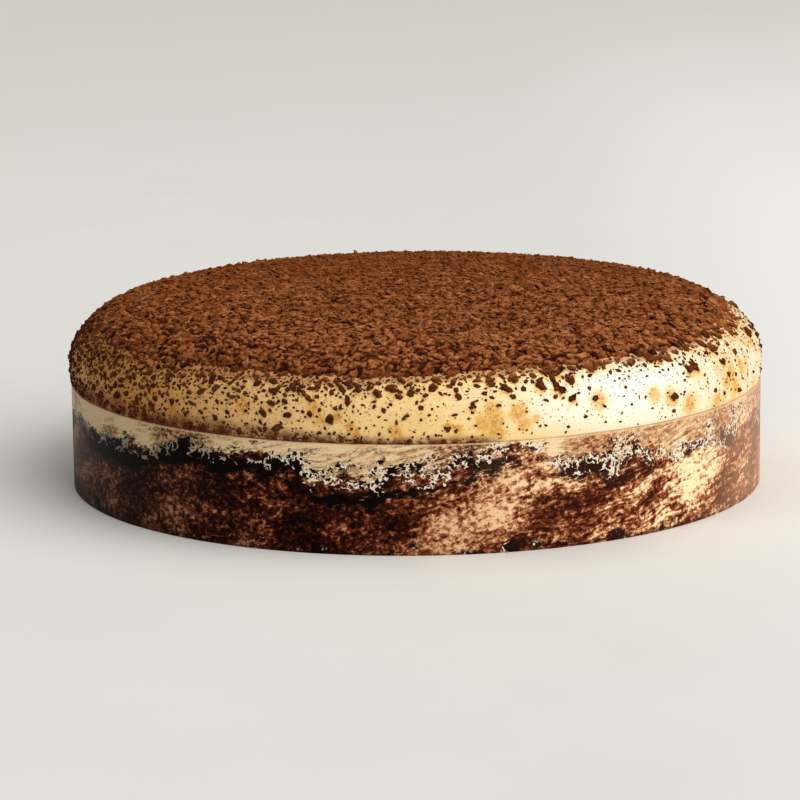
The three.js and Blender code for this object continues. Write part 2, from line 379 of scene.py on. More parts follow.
# Packed crumbs. Three sizes are the smallest, the usual excess and the largest half width, here and below
PACKED_TRIES = 120000
PACKED_SIZE = (0.3 * MM, 0.22 * MM, 1.3 * MM)
PACKED_CELL = 3.4 * MM
PACKED_TOUCH = 0.9
BACK_FINER = 0.6
EDGE_FINER = 0.1
EDGE_COARSER = 0.45
EDGE_FINER_FROM = 1.5 * MM
CLOD_HALF_WIDTH = 0.6 * MM
CLOD_FLATNESS = (0.45, 0.7)
CRUMB_FLATNESS = (0.5, 0.8)
CRUMB_HOLLOW = 0.7  # crumbs lie higher in the creases than the crust does
FRINGE_FLATNESS = (0.4, 0.65)
FRINGE_SHORT = 1.2 * MM
FRINGE_FAR = 4.4 * MM
FRINGE_STRAYS = 0.014  # share of the crumbs that lie anywhere on the shoulder

# Clumps: their spread along and up the shoulder and the sizes of their lumps are in sizes of a clump
SHOULDER_CLUMPS = 210
CLUMP_ABOVE_EDGE = 0.5 * MM
CLUMP_SHORT = 2.5 * MM
CLUMP_FAR = 5 * MM
CLUMP_THIN = 1  # share that stays on the clean side
CLUMP_SIZE = (0.45 * MM, 0.95 * MM)
CLUMP_LARGER = 1.5
CLUMP_STRAY_SMALLER = 0.9
CLUMP_LUMPS = 5
CLUMP_ALONG = 0.55
CLUMP_UP = 0.35
CLUMP_LUMP_SIZE = (0.4, 0.8)
CLUMP_FLATNESS = (0.4, 0.65)
CLUMP_RAISED = 0.15

SPECKS = 45000
SPECK_ABOVE_EDGE = 1 * MM
SPECK_REACH = 11 * MM
SPECK_THIN = 0.4  # share that stays on the clean side
SPECK_SIZE = (0.05 * MM, 0.055 * MM, 0.28 * MM)
SPECK_LARGER = 0.4
SPECK_FLATNESS = (0.5, 0.8)
SPECK_RAISED = 0.2

CREASE_CRUMBS = 1600
CREASE_CRUMB_SIDE = (-0.4, 0.3)  # cosines of the angles at which the line of crumbs ends
CREASE_CRUMB_REACH = 1.6 * MM
CREASE_CRUMB_SIZE = (0.15 * MM, 0.16 * MM, 0.7 * MM)
CREASE_CRUMB_FLATNESS = (0.45, 0.7)
CREASE_CRUMB_RAISED = 0.1


def lump_shape(around, rows):
    """Corners and faces of a small ball."""
    bm = bmesh.new()
    bmesh.ops.create_uvsphere(bm, u_segments=around, v_segments=rows, radius=1)
    corners = places(bm)
    faces = [[corner.index for corner in face.verts] for face in bm.faces]
    bm.free()
    return corners, faces


def unit(vectors):
    return vectors / np.linalg.norm(vectors, axis=1, keepdims=True)


def lumps(name, finish, rng, turn, distance, half_width, flatness, raised, shape):
    """One mesh of irregular lumps bedded in the cream or the coat."""
    corners, faces = lump_shape(*shape)
    count = len(turn)
    reach = rng.uniform(1 - LUMP_RAGGED, 1 + LUMP_RAGGED, (count, len(corners)))
    body = corners[None] * reach[:, :, None]
    stretches = [rng.uniform(*span, count) for span in (LUMP_LENGTH, LUMP_WIDTH, flatness)]
    body *= (np.stack(stretches, axis=-1) * half_width[:, None])[:, None, :]
    points, normals = on_cream(turn, distance)
    spin = rng.normal(0, LUMP_SPIN, count)
    level = np.stack([-np.sin(turn), np.cos(turn), 0 * turn], axis=-1)
    uphill = np.cross(normals, level)
    first = level * np.cos(spin)[:, None] + uphill * np.sin(spin)[:, None]
    first = unit(first + normals * rng.normal(0, LUMP_TILT, count)[:, None])
    second = unit(np.cross(normals, first))
    axes = np.stack([first, second, np.cross(first, second)], axis=1)
    placed = np.einsum("ncd,nde->nce", body, axes) + (points + normals * raised[:, None])[:, None, :]
    mesh = bpy.data.meshes.new(name)
    offsets = np.arange(count) * len(corners)
    every_face = [[corner + offset for corner in face] for offset in offsets for face in faces]
    mesh.from_pydata(placed.reshape(-1, 3), [], every_face)
    piece = finished(name, mesh, finish)
    mesh.shade_flat()
    return piece


def even_cover(rng, count, low):
    """Places spread evenly over the cream, from a distance up its shoulder to the crown."""
    turn = rng.uniform(0, FULL_TURN, count)
    span = np.linspace(low, Shoulder.length, COVER_SAMPLES)
    weight = np.cumsum(np.interp(span, Shoulder.distance, Shoulder.across))
    return turn, np.interp(rng.uniform(0, weight[-1], count), weight, span)


def down_the_shoulder(rng, count, above_edge, short, far, thin):
    """Places thinning out under the coat's edge, a short way on one side of the cake and far opposite."""
    turn = rng.uniform(0, FULL_TURN, count)
    turn = turn[rng.uniform(0, 1, count) < thin + (1 - thin) * stray(turn)]
    reach = short + (far - short) * stray(turn)
    distance = coat_edge(turn) + above_edge - rng.exponential(1, len(turn)) * reach
    inside = distance > LOWEST_CRUMB
    return turn[inside], distance[inside]


def packed(points, half_width):
    """Which crumbs stay when each that would lie on an earlier one is left out."""
    cells = {}
    kept = []
    around = [np.array((x, y, z)) for x in (-1, 0, 1) for y in (-1, 0, 1) for z in (-1, 0, 1)]
    for index, point in enumerate(points):
        home = np.floor(point / PACKED_CELL).astype(int)
        near = [other for step in around for other in cells.get(tuple(home + step), [])]
        apart = np.linalg.norm(points[near] - point, axis=1)
        if np.all(apart > PACKED_TOUCH * (half_width[near] + half_width[index])):
            cells.setdefault(tuple(home), []).append(index)
            kept.append(index)
    return np.array(kept)


def sizes(rng, count, smallest, excess, largest):
    return np.minimum(smallest + rng.exponential(excess, count), largest)


def make_packed_crumbs(finish):
    """Crumbs side by side over the crown, the largest first, thinning out below the coat's edge."""
    rng = np.random.default_rng(SEED)
    turn, distance = even_cover(rng, PACKED_TRIES, LOWEST_CRUMB)
    below = np.maximum(coat_edge(turn) - distance, 0)
    reach = FRINGE_SHORT + (FRINGE_FAR - FRINGE_SHORT) * stray(turn)
    stays = rng.uniform(0, 1, PACKED_TRIES) < np.exp(-below / reach) + FRINGE_STRAYS
    turn, distance = turn[stays], distance[stays]
    half_width = sizes(rng, len(turn), *PACKED_SIZE)
    half_width *= 1 - BACK_FINER + BACK_FINER * crust_roughness(on_cream(turn, distance)[0])
    above = distance - coat_edge(turn)
    at_edge = smooth_step(above, -EDGE_FINER_FROM, 0) * (1 - smooth_step(above, 0, CRUST_EDGE))
    half_width *= 1 + at_edge * (EDGE_COARSER * clean_side(turn) - EDGE_FINER * (1 - clean_side(turn)))
    order = np.argsort(-half_width)
    turn, distance, half_width = turn[order], distance[order], half_width[order]
    kept = packed(on_cream(turn, distance)[0], half_width)
    turn, distance, half_width = turn[kept], distance[kept], half_width[kept]
    raised = np.maximum(coat_lift(turn, distance), 0)
    fringe = distance < coat_edge(turn)
    large = half_width > CLOD_HALF_WIDTH
    kinds = [
        ("cocoa_clods", large & ~fringe, CLOD_FLATNESS, CRUMB_FACES),
        ("cocoa_crumbs", ~large & ~fringe, CRUMB_FLATNESS, SPECK_FACES),
        ("cocoa_fringe", fringe, FRINGE_FLATNESS, CRUMB_FACES),
    ]
    for name, chosen, flatness, shape in kinds:
        piece = lumps(name, finish, rng, turn[chosen], distance[chosen], half_width[chosen], flatness,
                      raised[chosen], shape)
        if name != "cocoa_fringe":
            corners = len(piece.data.vertices) // np.count_nonzero(chosen)
            middles = on_cream(turn[chosen], distance[chosen])[0]
            keep_hollows(piece, np.repeat(middles, corners, axis=0), CRUMB_HOLLOW)


def make_loose_cocoa(finish):
    """Cocoa that came down from the crown. Gives places and sizes of the clumps, which stain the cream."""
    rng = np.random.default_rng(SEED + 1)
    # Clumps are groups of lumps, larger where there are few
    middle, below = down_the_shoulder(rng, SHOULDER_CLUMPS, CLUMP_ABOVE_EDGE, CLUMP_SHORT, CLUMP_FAR,
                                      CLUMP_THIN)
    size = rng.uniform(*CLUMP_SIZE, len(middle)) * (CLUMP_LARGER - CLUMP_STRAY_SMALLER * stray(middle))
    group = np.repeat(np.arange(len(middle)), CLUMP_LUMPS)
    turn = middle[group] + rng.normal(0, CLUMP_ALONG, len(group)) * size[group] / BAND_RADIUS
    distance = below[group] + rng.normal(0, CLUMP_UP, len(group)) * size[group]
    half_width = size[group] * rng.uniform(*CLUMP_LUMP_SIZE, len(group))
    lumps("cocoa_clumps", finish, rng, turn, distance, half_width, CLUMP_FLATNESS,
          CLUMP_RAISED * half_width, CLUMP_FACES)
    turn, distance = down_the_shoulder(rng, SPECKS, SPECK_ABOVE_EDGE, SPECK_REACH, SPECK_REACH, SPECK_THIN)
    half_width = sizes(rng, len(turn), *SPECK_SIZE) * (1 + SPECK_LARGER * clean_side(turn))
    lumps("cocoa_specks", finish, rng, turn, distance, half_width, SPECK_FLATNESS,
          SPECK_RAISED * half_width, DUST_FACES)
    # A line of crumbs has slid down to the band
    turn = rng.uniform(0, FULL_TURN, CREASE_CRUMBS)
    turn = turn[np.cos(turn) < rng.uniform(*CREASE_CRUMB_SIDE, CREASE_CRUMBS)]
    distance = LOWEST_CRUMB + rng.exponential(CREASE_CRUMB_REACH, len(turn))
    half_width = sizes(rng, len(turn), *CREASE_CRUMB_SIZE)
    lumps("cocoa_crease_crumbs", finish, rng, turn, distance, half_width, CREASE_CRUMB_FLATNESS,
          CREASE_CRUMB_RAISED * half_width, CRUMB_FACES)
    return middle, below, size


# Amber stains that damp cocoa has left in the cream
STAIN_ACROSS = 1.8  # in half widths of the clump or blot
STAIN_DRIFT = 0.7 * MM
POWDER_REACH = 1.2 * MM
WARMTH_REACH = 5 * MM
BLOTS = 80
BLOT_DISTANCE = (-2 * MM, 6 * MM)
BLOT_HALF_WIDTH = (0.7 * MM, 2 * MM)


def stain_cream(cream, turn, distance, size):
    """Keeps with each point of the cream how near it is to a clump or a blot, and to the coat's edge."""
    rng = np.random.default_rng(SEED + 2)
    corners = np.array([corner.co for corner in cream.data.vertices])
    turn = np.concatenate([turn, rng.uniform(0, FULL_TURN, BLOTS)])
    distance = np.concatenate([distance - STAIN_DRIFT, rng.uniform(*BLOT_DISTANCE, BLOTS)])
    size = np.concatenate([size, rng.uniform(*BLOT_HALF_WIDTH, BLOTS)])
    stain = np.zeros(len(corners))
    for centre, half_width in zip(on_cream(turn, distance)[0], size):
        away = np.linalg.norm(corners - centre, axis=1) / (STAIN_ACROSS * half_width)
        stain = np.maximum(stain, np.exp(-away * away))
    up_the_shoulder = np.interp(corners[:, 2], Shoulder.up, Shoulder.distance)
    under_coat = up_the_shoulder - coat_edge(np.arctan2(corners[:, 1], corners[:, 0]))
    keep(cream, "stain", stain)
    keep(cream, "powder", smooth_step(under_coat, -POWDER_REACH, COAT_INSET))
    keep(cream, "warmth", smooth_step(under_coat, -WARMTH_REACH, 0))


# Marbled band
BAND_EDGE_ROUND = 0.35 * MM
BAND_ROUND_STEPS = 4
BAND_RINGS = 18
BAND_WOBBLE = 0.12 * MM
BAND_WOBBLE_LENGTH = 24 * MM


def make_band(finish):
    inner = BAND_RADIUS - BAND_THICKNESS
    round_start = BAND_HEIGHT - BAND_EDGE_ROUND
    outer_end = (BAND_RADIUS - BAND_EDGE_ROUND, BAND_HEIGHT)
    section = [(inner, 0)]
    section += [(BAND_RADIUS, up) for up in np.linspace(0, round_start, BAND_RINGS)]
    section += quarter_round(section[-1], outer_end, False, BAND_ROUND_STEPS)
    section.append((inner + BAND_EDGE_ROUND, BAND_HEIGHT))
    section += quarter_round(section[-1], (inner, round_start), True, BAND_ROUND_STEPS)
    section.append((inner, 0))
    bm = spun(section)
    points = places(bm)
    wobble = BAND_WOBBLE * noise_at(points * [1, 1, 0], BAND_WOBBLE_LENGTH)
    points[:, 2] += wobble * points[:, 2] / BAND_HEIGHT
    move_to(bm, points)
    new_piece("band", bm, finish, "marbled_band")


# Materials
NOISE_DETAIL = 2
NOISE_ROUGHNESS = 0.5
MIX_FIRST, MIX_SECOND, MIX_RESULT = 6, 7, 2  # places of a Mix node's colours among its sockets


class Signal:
    """A socket of a material. Sums, differences and products of signals add Math nodes."""

    def __init__(self, finish, socket):
        self.finish = finish
        self.socket = socket

    def _math(self, operation, first, second):
        return self.finish.node("ShaderNodeMath", {"operation": operation}, {0: first, 1: second})

    def __add__(self, other):
        return self._math("ADD", self, other)

    def __radd__(self, other):
        return self._math("ADD", other, self)

    def __sub__(self, other):
        return self._math("SUBTRACT", self, other)

    def __rsub__(self, other):
        return self._math("SUBTRACT", other, self)

    def __mul__(self, other):
        return self._math("MULTIPLY", self, other)

    def __rmul__(self, other):
        return self._math("MULTIPLY", other, self)

    def between(self, low, high):
        """From low where this is 0 to high where it is 1."""
        return low + self * (high - low)

    def centred(self, depth):
        """About zero instead of one half, and of this depth."""
        return (self - 0.5) * depth


class Finish:
    """A material under construction."""

    def __init__(self, name):
        self.material = bpy.data.materials.new(name)
        self.material.use_nodes = True
        self.tree = self.material.node_tree
        self.tree.nodes.clear()

    def node(self, kind, settings, sockets, output=0):
        """A node: its settings first, then values or links for its sockets. Gives one output, if any."""
        made = self.tree.nodes.new(kind)
        for name, value in settings.items():
            if name == "stops":
                self._set_stops(made.color_ramp, value)
            else:
                setattr(made, name, value)
        for name, value in sockets.items():
            if isinstance(value, Signal):
                self.tree.links.new(value.socket, made.inputs[name])
            else:
                made.inputs[name].default_value = value
        return Signal(self, made.outputs[output]) if made.outputs else None

    def _set_stops(self, ramp, stops):
        while len(ramp.elements) < len(stops):
            ramp.elements.new(1)
        for element, (position, shade) in zip(ramp.elements, stops):
            element.position = position
            element.color = shade

    def place(self, shift=(0, 0, 0)):
        """Object coordinates in millimetres, shifted."""
        coordinates = self.node("ShaderNodeTexCoord", {}, {}, "Object")
        return self.node("ShaderNodeMapping", {},
                         {"Vector": coordinates, "Location": shift, "Scale": (1 / MM,) * 3})

    def stretched(self, place, lengths, turn=(0, 0, 0)):
        """A place measured in these lengths along axes turned by these angles."""
        return self.node("ShaderNodeMapping", {"vector_type": "TEXTURE"},
                         {"Vector": place, "Rotation": turn, "Scale": lengths})

    def turned(self, place, angle):
        """A place in a pattern that is turned round the cake by this angle."""
        return self.stretched(place, (1, 1, 1), (0, 0, angle))

    def parts(self, vector):
        """The x, y and z of a vector."""
        split = self.node("ShaderNodeSeparateXYZ", {}, {"Vector": vector}).socket.node
        return [Signal(self, socket) for socket in split.outputs]

    def kept(self, name):
        """What a piece keeps with each of its points under this name."""
        return self.node("ShaderNodeAttribute", {"attribute_name": name}, {}, "Fac")

    def noise(self, place, size, detail=NOISE_DETAIL, roughness=NOISE_ROUGHNESS):
        """Noise about one half, with features of this size."""
        return self.node("ShaderNodeTexNoise", {},
                         {"Vector": place, "Scale": 1 / size, "Detail": detail, "Roughness": roughness})

    def marbling(self, place, lengths, size, detail, roughness):
        """Noise drawn out along the lean of the marbling."""
        return self.noise(self.stretched(place, lengths, MARBLE_LEAN), size, detail, roughness)

    def _vectors(self, operation, sockets):
        return self.node("ShaderNodeVectorMath", {"operation": operation}, sockets)

    def warped(self, place, size, depth):
        """The same place moved about by noise of this size, by this many millimetres at most."""
        sockets = {"Vector": place, "Scale": 1 / size, "Detail": NOISE_DETAIL}
        directions = self.node("ShaderNodeTexNoise", {}, sockets, "Color")
        about_zero = self._vectors("SUBTRACT", {0: directions, 1: (0.5, 0.5, 0.5)})
        moved = self._vectors("SCALE", {0: about_zero, "Scale": 2 * depth})
        return self._vectors("ADD", {0: place, 1: moved})

    def step(self, value, low, high):
        """0 up to low, 1 from high on, and a smooth rise between them."""
        return self.node("ShaderNodeMapRange", {"interpolation_type": "SMOOTHSTEP"},
                         {"Value": value, "From Min": low, "From Max": high})

    def mix(self, share, first, second):
        """The first colour, which gives way to the second as the share grows from 0 to 1."""
        return self.node("ShaderNodeMix", {"data_type": "RGBA"},
                         {"Factor": share, MIX_FIRST: first, MIX_SECOND: second}, MIX_RESULT)

    def ramp(self, value, positions, colours):
        return self.node("ShaderNodeValToRGB", {"stops": list(zip(positions, colours))}, {"Fac": value})

    def bump(self, height, strength, depth):
        return self.node("ShaderNodeBump", {}, {"Height": height, "Strength": strength, "Distance": depth})

    def surface(self, **sockets):
        """The finished material, with these values or links for its shader."""
        shader = self.node("ShaderNodeBsdfPrincipled", {}, sockets)
        self.node("ShaderNodeOutputMaterial", {}, {"Surface": shader})
        return self.material


def colour(red, green, blue):
    """A colour from its 0 to 255 screen values."""
    def linear(part):
        part /= 255
        return part / 12.92 if part <= 0.04045 else ((part + 0.055) / 1.055) ** 2.4
    return linear(red), linear(green), linear(blue), 1


# Cream's noises: size, then detail and roughness where they aren't the usual ones
CREAM_GRAIN = (0.9, 3, 0.6)
CREAM_PORES = (0.7, 3)
CREAM_DIMPLES = (3,)
CREAM_BLOTCHES = (3, 4, 0.6)
CREAM_RUNS = (1, 2)
CREAM_RUN_LENGTHS = (2.6, 2.6, 14)
CREASE_DUST_RAGS = (2.6, 5, 0.7)
CREASE_DUST_LENGTHS = (1, 1, 1.4)

# Cream's colours, painted shade and highlight among them, and where they change: a RANGE is in x, HEIGHTS are
# above the band
# The darker gold is partly painted shade, and the near white partly a painted highlight
SHADED_DARK_GOLD, GOLD, NEARLY_WHITE_HIGHLIGHT = colour(202, 144, 78), colour(246, 211, 150), colour(251, 243, 226)
GOLD_AND_SHADE_RANGE = (-80, -15)
WHITE_HIGHLIGHT_RANGE = (0, 48)
WARM_CREAM = colour(250, 208, 116)
WARM_RANGE = (-10, 25)
WARM_UNDER_COAT = 0.4
WARM_FOOT_HEIGHTS = (1, 6)
WARM_FOOT = (0.5, 0.2)  # at the middle of the cake and at its clean end
WARM_FOOT_FADE_RANGE = (25, 55)
AMBER_RUN = colour(234, 180, 96)
AMBER_RUN_RANGE = (56, 82)
AMBER_RUN_EDGES = (0.4, 0.65)
AMBER_RUN_SHARE = (0.35, 0.85)
AMBER_HALO, AMBER = colour(248, 200, 76), colour(206, 138, 46)
STAIN_RAGGED = 0.8
HALO_EDGES = (0, 0.9)
HALO_RANGE = (-30, 20)
HALO_SHARE = (0.1, 0.5)
STAIN_EDGES = (0.4, 1)
STAIN_GRAIN_EDGES = (0.35, 0.65)
STAIN_SHARE = (0.35, 0.85)
THIN_DUST, COAT_POWDER, CREASE_DUST = colour(176, 112, 56), colour(168, 104, 46), colour(104, 42, 6)
THIN_DUST_HEIGHTS = (8, 17)
THIN_DUST_RANGE = (0, 40)
THIN_DUST_EDGES = (0.42, 0.7)
THIN_DUST_SHARE = 0.5
COAT_POWDER_RAGGED = 2
COAT_POWDER_EDGES = (0.2, 0.8)
COAT_POWDER_SHARE = 0.6
CREASE_DUST_THICKNESS = (2.8, 6.4)
CREASE_DUST_THICK_RANGE = (0, -75)
CREASE_DUST_SOLID = 0.1  # height up to which the line is solid, in thicknesses
CREASE_DUST_TOP = (0.55, 1.45)  # lowest and highest height at which it ends, in thicknesses
CREASE_DUST_EDGES = (0.2, 0.55)
CREASE_DUST_RANGE = (20, 28)
CREASE_DUST_RANGE_RAGGED = 12
CREAM_ROUGHNESS = (0.34, 0.54)
CREASE_DUST_ROUGHER = 0.35
CREAM_BUMP = (0.12, 0.3 * MM)  # strength and depth


def cream_finish():
    finish = Finish("cream")
    place = finish.place()
    x, _, z = finish.parts(place)
    rise = z - BAND_HEIGHT / MM
    fine = finish.noise(place, *CREAM_GRAIN)
    # Golden, partly stain and partly painted shade, on the side that took most cocoa; nearly white with a
    # painted highlight on the other
    golden_and_shaded = finish.mix(finish.step(x, *GOLD_AND_SHADE_RANGE), SHADED_DARK_GOLD, GOLD)
    cream_with_painted_light = finish.mix(finish.step(x, *WHITE_HIGHLIGHT_RANGE), golden_and_shaded, NEARLY_WHITE_HIGHLIGHT)
    # Palest half way up its side, partly as a painted highlight: warmer under the coat and above the band
    foot = 1 - finish.step(rise, *WARM_FOOT_HEIGHTS)
    foot = foot * finish.step(x, *WARM_FOOT_FADE_RANGE).between(*WARM_FOOT)
    warm = finish.kept("warmth") * WARM_UNDER_COAT + foot
    cream_with_painted_light = finish.mix(warm * finish.step(x, *WARM_RANGE), cream_with_painted_light, WARM_CREAM)
    # Amber stains, in runs at one end, in blots and round the clumps
    runs = finish.noise(finish.stretched(place, CREAM_RUN_LENGTHS), *CREAM_RUNS)
    runs = finish.step(runs, *AMBER_RUN_EDGES).between(*AMBER_RUN_SHARE)
    tint = finish.mix(finish.step(x, *AMBER_RUN_RANGE) * runs, cream_with_painted_light, AMBER_RUN)
    stain = finish.kept("stain") + finish.noise(place, *CREAM_BLOTCHES).centred(STAIN_RAGGED)
    halo = finish.step(stain, *HALO_EDGES) * finish.step(x, *HALO_RANGE).between(*HALO_SHARE)
    tint = finish.mix(halo, tint, AMBER_HALO)
    grainy = finish.step(fine, *STAIN_GRAIN_EDGES).between(*STAIN_SHARE)
    tint = finish.mix(finish.step(stain, *STAIN_EDGES) * grainy, tint, AMBER)
    # Dust under the coat and a brown line of it in the crease above the band
    near_coat = finish.step(rise, *THIN_DUST_HEIGHTS) * (1 - finish.step(x, *THIN_DUST_RANGE))
    thin_dust = near_coat * finish.step(fine, *THIN_DUST_EDGES) * THIN_DUST_SHARE
    tint = finish.mix(thin_dust, tint, THIN_DUST)
    powder = finish.step(finish.kept("powder") + fine.centred(COAT_POWDER_RAGGED), *COAT_POWDER_EDGES)
    tint = finish.mix(powder * COAT_POWDER_SHARE, tint, COAT_POWDER)
    thickness = finish.step(x, *CREASE_DUST_THICK_RANGE).between(*CREASE_DUST_THICKNESS)
    ragged = finish.noise(finish.stretched(place, CREASE_DUST_LENGTHS), *CREASE_DUST_RAGS)
    top = thickness * ragged.between(*CREASE_DUST_TOP)
    dust = 1 - finish.step(rise, thickness * CREASE_DUST_SOLID, top)
    dust = dust * finish.step(ragged, *CREASE_DUST_EDGES)
    dust = dust * (1 - finish.step(x + ragged * CREASE_DUST_RANGE_RAGGED, *CREASE_DUST_RANGE))
    tint = finish.mix(dust, tint, CREASE_DUST)
    relief = (finish.noise(place, *CREAM_PORES) + finish.noise(place, *CREAM_DIMPLES)) * 0.5
    return finish.surface(**{
        "Base Color": tint,
        "Roughness": fine.between(*CREAM_ROUGHNESS) + dust * CREASE_DUST_ROUGHER,
        "Specular IOR Level": 0.35,
        "Subsurface Weight": 0.2,
        "Subsurface Radius": (1, 0.75, 0.5),
        "Subsurface Scale": 1 * MM,
        "Normal": finish.bump(relief, *CREAM_BUMP),
    })


# Cocoa: noises, three tones with their places on the scale from dark to light, and what shifts them there
COCOA_PATCHES = (2.4, 3, 0.6)
COCOA_GRAINS = (0.7, 4, 0.7)
COCOA_DRIFTS = (5, 2)
TONES = (0.34, 0.5, 0.66)
DRY_COCOA = (colour(58, 20, 2), colour(142, 82, 40), colour(194, 134, 88))
DAMP_COCOA = (colour(48, 20, 5), colour(92, 48, 20), colour(134, 80, 44))
DRY_HEIGHTS = (40, 44.5)
BASE_TONE = 0.125
PATCH_SHARE = 0.4
GRAIN_SHARE = 0.38
# Painted light and shade: lighter on up-facing faces, darker in the creases
TOP_LIGHT_FACING = (0.3, 1.0)  # upward part of the normal
PAINTED_TOP_LIGHT = 0.08
HOLLOW_EDGES = (0.3, 1)
HOLLOW_PAINTED_SHADE = 0.26
MIDDLE_TONE = 0.47
FAINT_RANGE = (-30, 60)  # from front to back
FAINT_CONTRAST = 0.55
DRIFT_DEPTH = 0.2
# Painted light: the cocoa is a little lighter towards the lit side of the cake
COCOA_LIT_SIDE_RANGE = (-90, 90)
COCOA_LIT_SIDE_LIGHT = (0.004, 0.029)
FRONT_RANGE = (-60, -30)  # from front to back
FRONT_LIGHT = 0.016
COCOA_BUMP = (0.8, 0.6 * MM)


def cocoa_finish():
    """Dull powdery cocoa, darker and damp down on the cream."""
    finish = Finish("cocoa")
    place = finish.place()
    x, y, z = finish.parts(place)
    patches = finish.noise(place, *COCOA_PATCHES)
    grains = finish.noise(place, *COCOA_GRAINS)
    tone = patches * PATCH_SHARE + grains * GRAIN_SHARE + BASE_TONE
    # Up-facing faces are painted lighter as a painted top light, and creases darker as painted shade
    up = finish.parts(finish.node("ShaderNodeNewGeometry", {}, {}, "Normal"))[2]
    tone = tone + finish.step(up, *TOP_LIGHT_FACING).centred(PAINTED_TOP_LIGHT)
    tone = tone - finish.step(finish.kept("hollow"), *HOLLOW_EDGES) * HOLLOW_PAINTED_SHADE
    # Towards the back the tones are more even
    contrast = finish.step(y, *FAINT_RANGE).between(1, FAINT_CONTRAST)
    tone = MIDDLE_TONE + (tone - MIDDLE_TONE) * contrast
    tone = tone + finish.noise(place, *COCOA_DRIFTS).centred(DRIFT_DEPTH)
    # Painted light, lighter towards the lit side
    tone = tone + finish.step(x, *COCOA_LIT_SIDE_RANGE).between(*COCOA_LIT_SIDE_LIGHT)
    tone = tone - finish.step(y, *FRONT_RANGE) * FRONT_LIGHT
    dry = finish.ramp(tone, TONES, DRY_COCOA)
    damp = finish.ramp(tone, TONES, DAMP_COCOA)
    return finish.surface(**{
        "Base Color": finish.mix(finish.step(z, *DRY_HEIGHTS), damp, dry),
        "Roughness": 0.95,
        "Specular IOR Level": 0.2,
        "Normal": finish.bump(grains, *COCOA_BUMP),
    })


# Marbling: lengths that each pattern is drawn out to along the axes, then its size, detail and roughness
MARBLE_LEAN = (0, math.radians(-13), 0)
FLECKS = ((1.3, 1.3, 1), 1.1, 3, 0.7)
CLUSTERS = ((1.3, 1.3, 1), 4, 3, 0.6)
DRAWN_SPECKS = ((3.4, 3.4, 1), 2, 4, 0.7)
PEPPER = ((1.6, 1.6, 1), 0.7, 3, 0.7)
CLOUDS = ((1.7, 1.7, 1), 15, 2, 0.5)
STREAKS = ((8, 8, 0.8), 1, 3, 0.65)
SEAM_BREAKS = ((24, 24, 7), 1, 2, 0.5)

# Patterns that aren't drawn out, as for the cream. Shifts keep them apart from each other
SEAM_WAVES = (26, 2)
SEAM_WAVELETS = (7, 2)
FOOT_PATCHES = (9, 4, 0.6)
LACE_CRUMBS = (1.5, 3, 0.6)
BROWN_ZONES = (20, 2)
WAVELET_SHIFT = (40, 0, 0)
BREAK_SHIFT = (0, 60, 0)
FOOT_SHIFT = (0, 0, 90)
ZONE_SHIFT = (0, 25, 0)
CLOUD_TURN = math.radians(8)
SEAM_TURN = math.radians(-13)
FLOW_WARP = (24, 5)  # size and depth of what bends the patterns
FEATHER_WARP = (6, 0.7)

# Where the marbling and its painted light and shade change along the cake: x where a change starts and where
# it ends
BAND_LIT_SIDE_RANGE = (-25, 62)
PALER_RANGE = (35, 75)
BAND_PAINTED_SHADE_RANGE = (-30, -70)
CALM_AND_SHADE_RANGE = (-25, -65)
PALE_PAINTED_SHADE_RANGE = (-20, -70)
PALE_DEEP_RANGE = (-40, -85)
SHEEN_HAZE_RANGE = (64, 88)

# Colours of the marbling and of its painted shade and highlight, from dark to light where there are several
# The darker ground is a shaded copy of the lighter one, painted shade
SHADED_SIDE_STOPS = (0.26, 0.44, 0.58, 0.76)
SHADED_SIDE_GROUND = (colour(22, 6, 2), colour(66, 25, 9), colour(132, 76, 48), colour(214, 164, 126))
LIT_SIDE_STOPS = (0.32, 0.49, 0.62, 0.78)
LIT_SIDE_GROUND = (colour(62, 24, 11), colour(122, 64, 38), colour(196, 138, 98), colour(252, 226, 182))
BAND_PAINTED_SHADE = colour(24, 11, 6)
BLACK, DARK_BROWN = colour(10, 5, 4), colour(54, 28, 20)
LACE_BEIGE, LACE_WHITE, LACE_IN_PAINTED_SHADE = colour(206, 178, 146), colour(255, 250, 236), colour(96, 76, 52)
COMB_DARK, COMB_BROWN, COMB_LIGHT = colour(66, 30, 14), colour(132, 78, 44), colour(226, 182, 138)
PALE, PALE_IN_PAINTED_SHADE = colour(236, 210, 168), colour(60, 44, 26)
# A painted sheen at the lit end and a painted highlight on the top edge
SHEEN_HAZE, TOP_EDGE_HIGHLIGHT = colour(214, 168, 134), colour(222, 192, 154)

# Borders in the marbling, as depths below the height where the pale top ends or as limits of noise
PALE_HEIGHT = 23.2
PALE_DEEPER = 3
WAVE_DEPTH = 21
WAVELET_DEPTH = 8
CALM = 0.4
SEAM_EDGES = (8.5, 4.5)
SEAM_RAGGED = 14
SEAM_PEPPERED = 6
SEAM_BREAK_EDGES = (0.38, 0.52)
FOOT_EDGES = (0.52, 0.64)
FOOT_HEIGHTS = (8.5, 6)
FOOT_RAGGED = 8
BLACK_EDGES = (0.15, 0.85)
LACE_EDGES = (0.006, 0.0015)
LACE_DEPTHS = (5, 3)
LACE_RAGGED = 16
LACE_CROWD_EDGES = (0.57, 0.63)
LACE_GAP_EDGES = (0.3, 0.6)
PALE_EDGES = (0.5, -1)
PALE_PEPPERED = 14
PALE_RAGGED = 16
COMB_FLECK_EDGES = (0.42, 0.6)
COMB_EDGES = (0.42, 0.58)
BROWN_ZONE_DEPTH = 0.9
TOP_EDGE_HIGHLIGHT_HEIGHTS = (26.4, 26.7)

